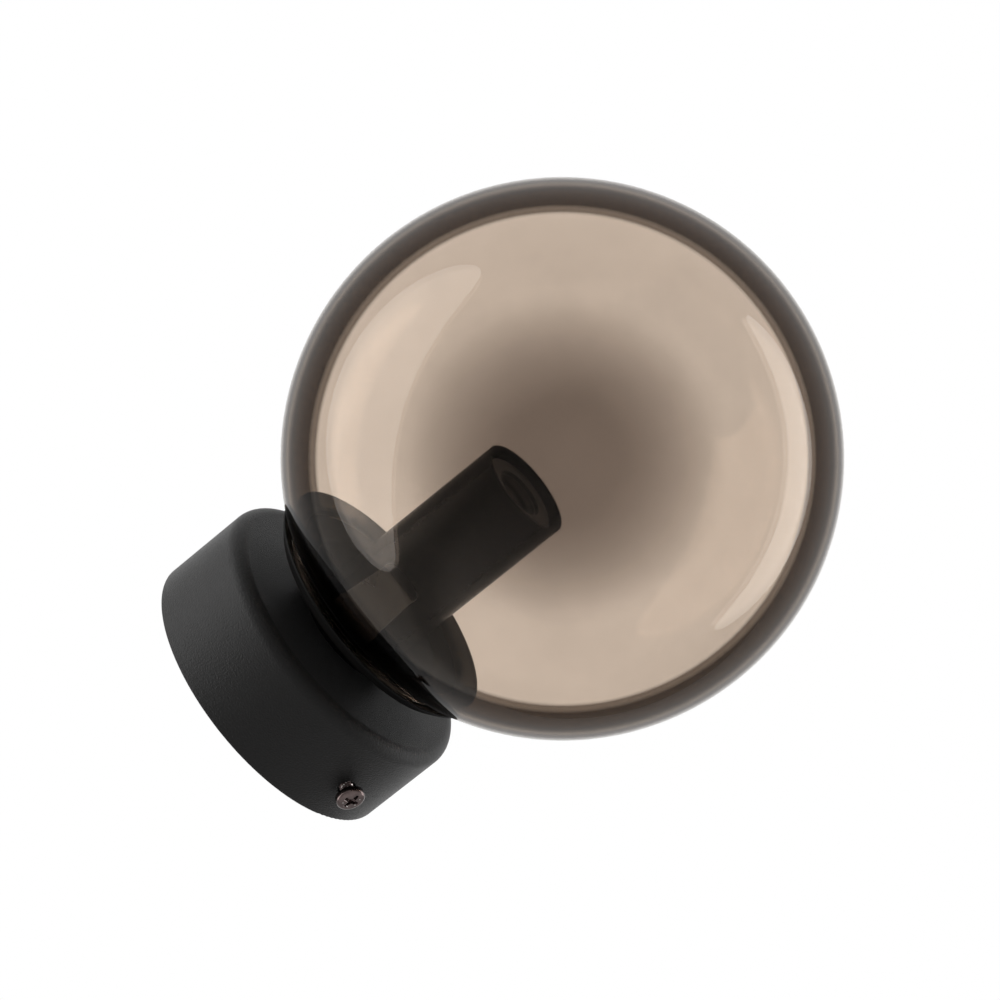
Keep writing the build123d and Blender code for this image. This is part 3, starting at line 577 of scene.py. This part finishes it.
class SCONCE_OT_spring_clips(bpy.types.Operator):
    """Two bent spring leaves that grip the glass from inside"""
    bl_idname = "sconce.spring_clips"
    bl_label = "Spring clips"

    def execute(self, context):
        """Each leaf is a rounded section swept along a line: a point of it lies at the line +
        aside * depth * through, and width * across to the side.  Across is a power of cos t and
        through is a power of sin t, each with its sign.  The leaf narrows by a smooth step above
        the bore, and quarter circles round the corners of the tab's end."""
        chosen = context.scene.sconce_metal
        high, half = -CLIP_LOW.y, chosen.clip_width / 2
        line = self.line(chosen, -CLIP_HIGH.y, high)
        way = np.gradient(line, axis=0)
        way /= np.linalg.norm(way, axis=1, keepdims=True)
        aside = np.stack((way[:, 1], -way[:, 0]), axis=1)
        turn = np.linspace(0, TURN, CLIP_COLUMNS, endpoint=False)
        across, through = (np.sign(wave) * np.abs(wave) ** power
                           for wave, power in zip((np.cos(turn), np.sin(turn)), CLIP_SECTION))
        left = np.linalg.norm(np.diff(line, axis=0), axis=1)[::-1].cumsum()[::-1]
        near_end = 1 - np.clip(np.append(left, 0) / CLIP_CORNER, 0, 1)
        width = half - CLIP_NARROWING * smooth((line[:, 1] - high) / CLIP_NARROWING_RUN)
        width -= CLIP_CORNER * (1 - np.sqrt(1 - near_end ** 2))
        depth = np.full(len(line), CLIP_THICKNESS / 2)
        width[[0, -1]], depth[[0, -1]] = 0.0, 0.0
        radius = line[:, :1] + aside[:, :1] * depth[:, None] * through
        distance = line[:, 1:] + aside[:, 1:] * depth[:, None] * through
        sideways = width[:, None] * across
        leaves = []
        for angle in np.radians(CLIP_ANGLES):
            x = radius * math.cos(angle) - sideways * math.sin(angle)
            z = radius * math.sin(angle) + sideways * math.cos(angle)
            leaves.append((np.stack((x, -distance, z), axis=-1), False))
        piece = grid_object("spring_clips", leaves, "fixture", "glass_clips")
        # the bright edge colour on the leaves is a painted highlight along their edges
        piece.data.materials.append(finish_material(
            "spring_steel", (0.072, 0.070, 0.067), (0.036, 0.035, 0.034), 0.28, 0.12,
            metallic=1.0, grain=0.0003, stretch=(1.0, 8.0, 1.0), wear_and_highlight=(0.9, 0.88, 0.86),
            wear_and_highlight_share=1.0, dust=0.0))
        return {"FINISHED"}

    def line(self, chosen, low, high):
        """The leaf's middle line as (radius, distance): the foot on the brim, the bend out to the
        glass bore, the long upright part, a quarter circle inwards and the finger tab.  A short
        step at each end leaves room for the row that closes the leaf."""
        half = chosen.clip_width / 2
        face = math.sqrt(CLIP_REACH ** 2 - half ** 2)
        middle = face - CLIP_THICKNESS / 2
        foot_level = low + CLIP_THICKNESS / 2
        lean, top_lean = CLIP_LEAN
        crest = high + chosen.clip_reach - CLIP_CURL
        corners = [(face - CLIP_FOOT, foot_level), (middle - CLIP_BEND_OFFSET, foot_level),
                   (middle, low + CLIP_BEND_HEIGHT), (middle - lean, high),
                   (middle - top_lean, crest)]
        line = rounded_path(corners, CLIP_ROUNDING, BEND_ROWS)
        centre = (middle - top_lean - CLIP_CURL, crest)
        bend = arc(centre, CLIP_CURL, math.pi / 2, 0.0, CURL_ROWS)
        inwards = chosen.clip_tab * np.sin(np.linspace(0.1, math.pi / 2, TAB_ROWS))
        tab = bend[-1] - np.stack((inwards, np.zeros(TAB_ROWS)), axis=1)
        first = line[:1] + (line[1:2] - line[:1]) * END_STEP
        last = tab[-1:] + (tab[-1:] - tab[-2:-1]) * END_STEP
        return np.concatenate((line[:1], first, line[1:-1], bend, tab, last))


class SCONCE_OT_socket_thread(bpy.types.Operator):
    """Rolled thread inside the lampholder's shell"""
    bl_idname = "sconce.socket_thread"
    bl_label = "Socket thread"

    def execute(self, context):
        """A closed ring turned round the axis: its outer wall is plain, and its inner wall lies at
        bore - depth * wave, fading out at both ends."""
        pitch = context.scene.sconce_metal.socket_pitch
        wall = (SHELL_HIGH.x - SHELL_LOW.x) / 2
        bore, near, far = wall - SHELL_WALL, -SHELL_HIGH.y, -SHELL_LOW.y
        run = np.linspace(near + THREAD_MARGIN, far - THREAD_MARGIN, SOCKET_ROWS)
        inner = np.stack((np.full(SOCKET_ROWS, bore), run), axis=1)
        outer = np.array([(bore + CHAMFER, far), (wall, far - 0.15 * MM),
                          (wall, near + 0.15 * MM), (bore + CHAMFER, near)])
        angle = np.linspace(0, TURN, SOCKET_COLUMNS, endpoint=False)
        fade = smooth((run - near) / SOCKET_FADE) * smooth((far - run) / SOCKET_FADE)
        depth = SOCKET_DEPTH * fade[:, None] * thread_wave(run[:, None], angle, pitch)
        sheet = sink(turned(np.concatenate((inner, outer)), SOCKET_COLUMNS), bore, depth)
        piece = grid_object("socket_thread", [(sheet, True)], "fixture", "screw_shell")
        # the shell's metal is darkened almost to black: painted shade deep in the socket's mouth
        piece.data.materials.append(finish_material(
            "shell_painted_dark", (0.075, 0.072, 0.068), (0.040, 0.038, 0.036), 0.32, 0.14,
            metallic=1.0, grain=0.0005, stretch=(1.0, 6.0, 1.0), wear_and_highlight=(0.20, 0.19, 0.18),
            wear_and_highlight_share=0.3, dust=0.0))
        return {"FINISHED"}


class SCONCE_OT_threaded_tube(bpy.types.Operator):
    """Threaded tube that ties canopy, gallery and lampholder together"""
    bl_idname = "sconce.threaded_tube"
    bl_label = "Threaded tube"

    def execute(self, context):
        """A closed ring: bore plain, outer wall at radius - depth * (1 - wave)."""
        pitch = context.scene.sconce_metal.tube_pitch
        outside = (TUBE_HIGH.x - TUBE_LOW.x) / 2
        bore, edge, near, far = TUBE_BORE, outside - 0.5 * MM, -TUBE_HIGH.y, -TUBE_LOW.y
        run = np.linspace(near + THREAD_MARGIN, far - THREAD_MARGIN, TUBE_ROWS)
        wall = np.stack((np.full(TUBE_ROWS, outside), run), axis=1)
        inside = np.array([(edge, far), (bore + CHAMFER, far), (bore, far - CHAMFER),
                           (bore, near + CHAMFER), (bore + CHAMFER, near), (edge, near)])
        angle = np.linspace(0, TURN, TUBE_COLUMNS, endpoint=False)
        cut = TUBE_CUT * (1 - thread_wave(run[:, None], angle, pitch))
        sheet = sink(turned(np.concatenate((wall, inside)), TUBE_COLUMNS), outside, cut)
        piece = grid_object("threaded_tube", [(sheet, True)], "fixture", "nipple")
        piece.data.materials.append(bpy.data.materials["zinc_plate"])
        return {"FINISHED"}


# ---------------------------------------------------------------- finishes of the CAD nodes
class SCONCE_OT_black_finishes(bpy.types.Operator):
    """Powder coat on the canopy, a smoother coat on the gallery, satin black on the sleeve"""
    bl_idname = "sconce.black_finishes"
    bl_label = "Black finishes"

    def execute(self, context):
        chosen = context.scene.sconce_coat
        coat, sleeve = tuple(chosen.coat), tuple(chosen.sleeve)
        dark = self.darker(coat)
        powder = finish_material("powder_coat", coat, dark, 0.40, 0.08, grain=0.0005, patch=0.012,
                                 bump=0.00022, bump_strength=1.0, dust=0.0, specular=0.11,
                                 sheen=0.03)
        dress(("canopy",), powder)
        smooth_coat = finish_material("smooth_coat", dark, self.darker(dark), 0.46, 0.06,
                                      grain=0.0006, patch=0.012, bump=0.00003, dust=0.0,
                                      specular=0.03)
        dress(("gallery",), smooth_coat)
        satin = finish_material("satin_black", sleeve, self.darker(sleeve), 0.22, 0.06,
                                grain=0.0012, patch=0.03, bump=0.00001, bump_strength=0.15,
                                wear_and_highlight=(0.03, 0.03, 0.032), wear_and_highlight_share=0.2, dust=0.0, specular=0.04)
        dress(("lamp_sleeve",), satin)
        return {"FINISHED"}

    def darker(self, colour):
        """The colour that a mottled black goes down to."""
        return tuple(DARK_SHARE * part for part in colour)


class SCONCE_OT_metal_finishes(bpy.types.Operator):
    """Zinc plate, brass, tin and rivet steel on the inner hardware"""
    bl_idname = "sconce.metal_finishes"
    bl_label = "Metal finishes"

    def execute(self, context):
        bracket = finish_material("zinc_sheet", (0.62, 0.62, 0.60), (0.48, 0.49, 0.49), 0.38, 0.2,
                                  metallic=1.0, grain=0.0006, patch=0.006,
                                  stretch=(1.0, 1.0, 0.12), wear_and_highlight=(0.8, 0.8, 0.79), dust=0.06)
        plate = finish_material("zinc_plate", (0.60, 0.58, 0.50), (0.45, 0.44, 0.40), 0.32, 0.2,
                                metallic=1.0, grain=0.0004, patch=0.003, wear_and_highlight=(0.78, 0.77, 0.74),
                                dust=0.05)
        brass = finish_material("plain_brass", (0.70, 0.50, 0.22), (0.52, 0.36, 0.15), 0.30, 0.16,
                                metallic=1.0, grain=0.0004, patch=0.003, wear_and_highlight=(0.85, 0.68, 0.38),
                                dust=0.04)
        tin = finish_material("tinned_copper", (0.72, 0.71, 0.69), (0.58, 0.56, 0.53), 0.36, 0.16,
                              metallic=1.0, grain=0.0005, patch=0.002, wear_and_highlight=(0.78, 0.55, 0.40),
                              dust=0.04)
        rivet = finish_material("rivet_head", (0.38, 0.38, 0.38), (0.25, 0.25, 0.25), 0.34, 0.14,
                                metallic=1.0, grain=0.0003, patch=0.002, wear_and_highlight=(0.6, 0.6, 0.6),
                                dust=0.03)
        dress(("wall_bracket",), bracket)
        dress(("lock_washer", "canopy_nut", "gallery_nut", "terminal_screws", "block_screws",
               "earth_screw"), plate)
        dress(("centre_contact", "holder_terminals", "terminal_inserts"), brass)
        dress(("earth_ring",), tin)
        dress(("clip_rivets",), rivet)
        return {"FINISHED"}


class SCONCE_OT_plastic_finishes(bpy.types.Operator):
    """Moulded lampholder and terminal block"""
    bl_idname = "sconce.plastic_finishes"
    bl_label = "Plastic finishes"

    def execute(self, context):
        holder = finish_material("moulded_black", (0.014, 0.014, 0.014), (0.009, 0.009, 0.009),
                                 0.48, 0.12, grain=0.0005, patch=0.01, bump=0.00004,
                                 wear_and_highlight=(0.05, 0.05, 0.05), dust=0.03, specular=0.4)
        nylon = finish_material("natural_nylon", (0.80, 0.78, 0.72), (0.70, 0.68, 0.61), 0.45, 0.12,
                                grain=0.0006, patch=0.006, bump=0.00004, wear_and_highlight=(0.88, 0.87, 0.84),
                                dust=0.05)
        milky = nylon.node_tree.nodes["Principled BSDF"].inputs
        milky["Subsurface Weight"].default_value = 0.15
        milky["Subsurface Scale"].default_value = 0.002
        dress(("holder_cap", "holder_body"), holder)
        dress(("terminal_block",), nylon)
        return {"FINISHED"}


class SCONCE_OT_lead_finishes(bpy.types.Operator):
    """Insulation of the three inner leads"""
    bl_idname = "sconce.lead_finishes"
    bl_label = "Lead finishes"

    def execute(self, context):
        brown = finish_material("brown_insulation", (0.16, 0.065, 0.03), (0.11, 0.045, 0.02),
                                0.36, 0.1, grain=0.001, patch=0.004, dust=0.04)
        blue = finish_material("blue_insulation", (0.03, 0.12, 0.42), (0.02, 0.085, 0.32),
                               0.36, 0.1, grain=0.001, patch=0.004, dust=0.04)
        dress(("live_lead",), brown)
        dress(("neutral_lead",), blue)
        dress(("earth_lead",), self.striped())
        return {"FINISHED"}

    def striped(self):
        """Green insulation with a yellow stripe along the lead's upper side."""
        made, tree, shader = material("earth_insulation")
        place = node(tree, "ShaderNodeTexCoord").outputs["Object"]
        level = node(tree, "ShaderNodeSeparateXYZ", {0: place}).outputs[2]
        stripe = maths(tree, "GREATER_THAN", level, 0.00015)
        grained = place_group(tree, "surface_grain", grain_group,
                              {"Grain size": 0.001, "Patch size": 0.004})
        mottle = grained.outputs["Mottle"]
        green = mix_colour(tree, mottle, (0.02, 0.16, 0.035, 1), (0.03, 0.24, 0.05, 1))
        yellow = mix_colour(tree, mottle, (0.60, 0.46, 0.02, 1), (0.72, 0.57, 0.04, 1))
        tree.links.new(mix_colour(tree, stripe, green, yellow), shader.inputs["Base Color"])
        raise_grain(tree, shader, grained, 0.2, 0.00002)
        tree.links.new(maths(tree, "MULTIPLY_ADD", mottle, 0.1, 0.32), shader.inputs["Roughness"])
        return made


# ---------------------------------------------------------------- stage
class SCONCE_OT_stage(bpy.types.Operator):
    """Pale floor, white surroundings, two soft lamps and the camera"""
    bl_idname = "sconce.stage"
    bl_label = "Stage"

    def execute(self, context):
        chosen = context.scene.sconce_stage
        self.floor(chosen)
        self.surroundings(context, chosen)
        self.softbox("softbox_left", LEFT_WAY, LEFT_SIZE, LEFT_SHARE * chosen.softbox)
        self.softbox("softbox_right", RIGHT_WAY, RIGHT_SIZE, RIGHT_SHARE * chosen.softbox)
        self.camera(context)
        context.scene.view_settings.view_transform = "Standard"
        return {"FINISHED"}

    def floor(self, chosen):
        """A level square of z = floor level, as a grid of points."""
        steps = np.linspace(-FLOOR_HALF, FLOOR_HALF, FLOOR_POINTS)
        x, y = np.meshgrid(steps, steps, indexing="ij")
        points = np.stack((x, y, np.full_like(x, chosen.floor_level)), axis=-1).reshape(-1, 3)
        index = np.arange(x.size).reshape(x.shape)
        quads = np.stack((index[:-1, :-1], index[1:, :-1], index[1:, 1:], index[:-1, 1:]), axis=-1)
        mesh = bpy.data.meshes.new("floor")
        mesh.from_pydata(points.tolist(), [], quads.reshape(-1, 4).tolist())
        floor = bpy.data.objects.new("floor", mesh)
        bpy.context.scene.collection.objects.link(floor)
        made, _, shader = material("pale_floor")
        shader.inputs["Base Color"].default_value = (FLOOR_WHITE, FLOOR_WHITE, FLOOR_WHITE, 1)
        shader.inputs["Roughness"].default_value = 0.8
        mesh.materials.append(made)

    def surroundings(self, context, chosen):
        """White for camera, glossy and transmission rays, and an even light for the rest."""
        world = bpy.data.worlds.new("white_surroundings")
        context.scene.world = world
        world.use_nodes = True
        tree = world.node_tree
        tree.nodes.clear()
        rays = tree.nodes.new("ShaderNodeLightPath").outputs
        seen = maths(tree, "ADD", rays["Is Camera Ray"], rays["Is Glossy Ray"], clamp=True)
        seen = maths(tree, "ADD", seen, rays["Is Transmission Ray"], clamp=True)
        even, white = (node(tree, "ShaderNodeBackground",
                            {"Color": (1, 1, 1, 1), "Strength": strength})
                       for strength in (chosen.world_light, 1.0))
        both = node(tree, "ShaderNodeMixShader", {0: seen, 1: even.outputs[0], 2: white.outputs[0]})
        node(tree, "ShaderNodeOutputWorld", {0: both.outputs[0]})

    def softbox(self, name, way, size, power):
        """An oval area lamp out along way from the middle of the globe, which it faces."""
        data = bpy.data.lights.new(name, "AREA")
        data.shape, data.energy = "ELLIPSE", power
        data.size, data.size_y = size
        lamp = bpy.data.objects.new(name, data)
        bpy.context.scene.collection.objects.link(lamp)
        lamp.visible_camera = False
        back = Vector(way).normalized()
        side = Vector(LAMP_LEAN).cross(back).normalized()
        place = Vector((0, -GLOBE_CENTRE, 0)) + LAMP_DISTANCE * back
        turn = Matrix((side, back.cross(side), back)).transposed().to_4x4()
        lamp.matrix_world = Matrix.Translation(place) @ turn

    def camera(self, context):
        """The photograph's viewing angle: below and to the left of the lamp, and rolled."""
        azimuth, elevation, roll = (math.radians(value) for value in CAMERA_ANGLES)
        back = Vector((math.sin(azimuth) * math.cos(elevation),
                       -math.cos(azimuth) * math.cos(elevation), math.sin(elevation)))
        level = Vector((math.cos(azimuth), math.sin(azimuth), 0))
        upright = back.cross(level)
        right = math.cos(roll) * level + math.sin(roll) * upright
        up = math.cos(roll) * upright - math.sin(roll) * level
        data = bpy.data.cameras.new("photo_camera")
        data.lens, data.sensor_width = CAMERA_LENS, 36.0
        data.clip_start, data.clip_end = 0.05, 30.0
        camera = bpy.data.objects.new("photo_camera", data)
        context.scene.collection.objects.link(camera)
        across, along = CAMERA_SHIFT
        place = Vector(CAMERA_TARGET) + CAMERA_DISTANCE * back + across * right + along * up
        turn = Matrix((right, up, back)).transposed().to_4x4()
        camera.matrix_world = Matrix.Translation(place) @ turn
        context.scene.camera = camera


PARTS = (SCONCE_OT_globe, SCONCE_OT_side_screws, SCONCE_OT_spring_clips, SCONCE_OT_socket_thread,
         SCONCE_OT_metal_finishes, SCONCE_OT_threaded_tube, SCONCE_OT_black_finishes,
         SCONCE_OT_plastic_finishes, SCONCE_OT_lead_finishes, SCONCE_OT_stage)
SETTINGS = {"sconce_globe": GlobeSettings, "sconce_metal": MetalSettings,
            "sconce_coat": CoatSettings, "sconce_stage": StageSettings}


class SCONCE_PT_sidebar(bpy.types.Panel):
    """Lists the pieces, the stage and their settings"""
    bl_idname = "SCONCE_PT_sidebar"
    bl_label = "Globe wall sconce"
    bl_space_type = "VIEW_3D"
    bl_region_type = "UI"
    bl_category = "Sconce"

    def draw(self, context):
        for part in PARTS:
            self.layout.operator(part.bl_idname)
        for place, group in SETTINGS.items():
            self.layout.label(text=group.__doc__)
            for name in group.__annotations__:
                self.layout.prop(getattr(context.scene, place), name)


CLASSES = (*SETTINGS.values(), *PARTS, SCONCE_PT_sidebar)


def register():
    for item in CLASSES:
        bpy.utils.register_class(item)
    for place, group in SETTINGS.items():
        setattr(bpy.types.Scene, place, PointerProperty(type=group))


def unregister():
    for place in SETTINGS:
        delattr(bpy.types.Scene, place)
    for item in reversed(CLASSES):
        bpy.utils.unregister_class(item)


def main():
    register()
    for part in PARTS:
        family, name = part.bl_idname.split(".")
        getattr(getattr(bpy.ops, family), name)()


if __name__ == "__main__":
    main()
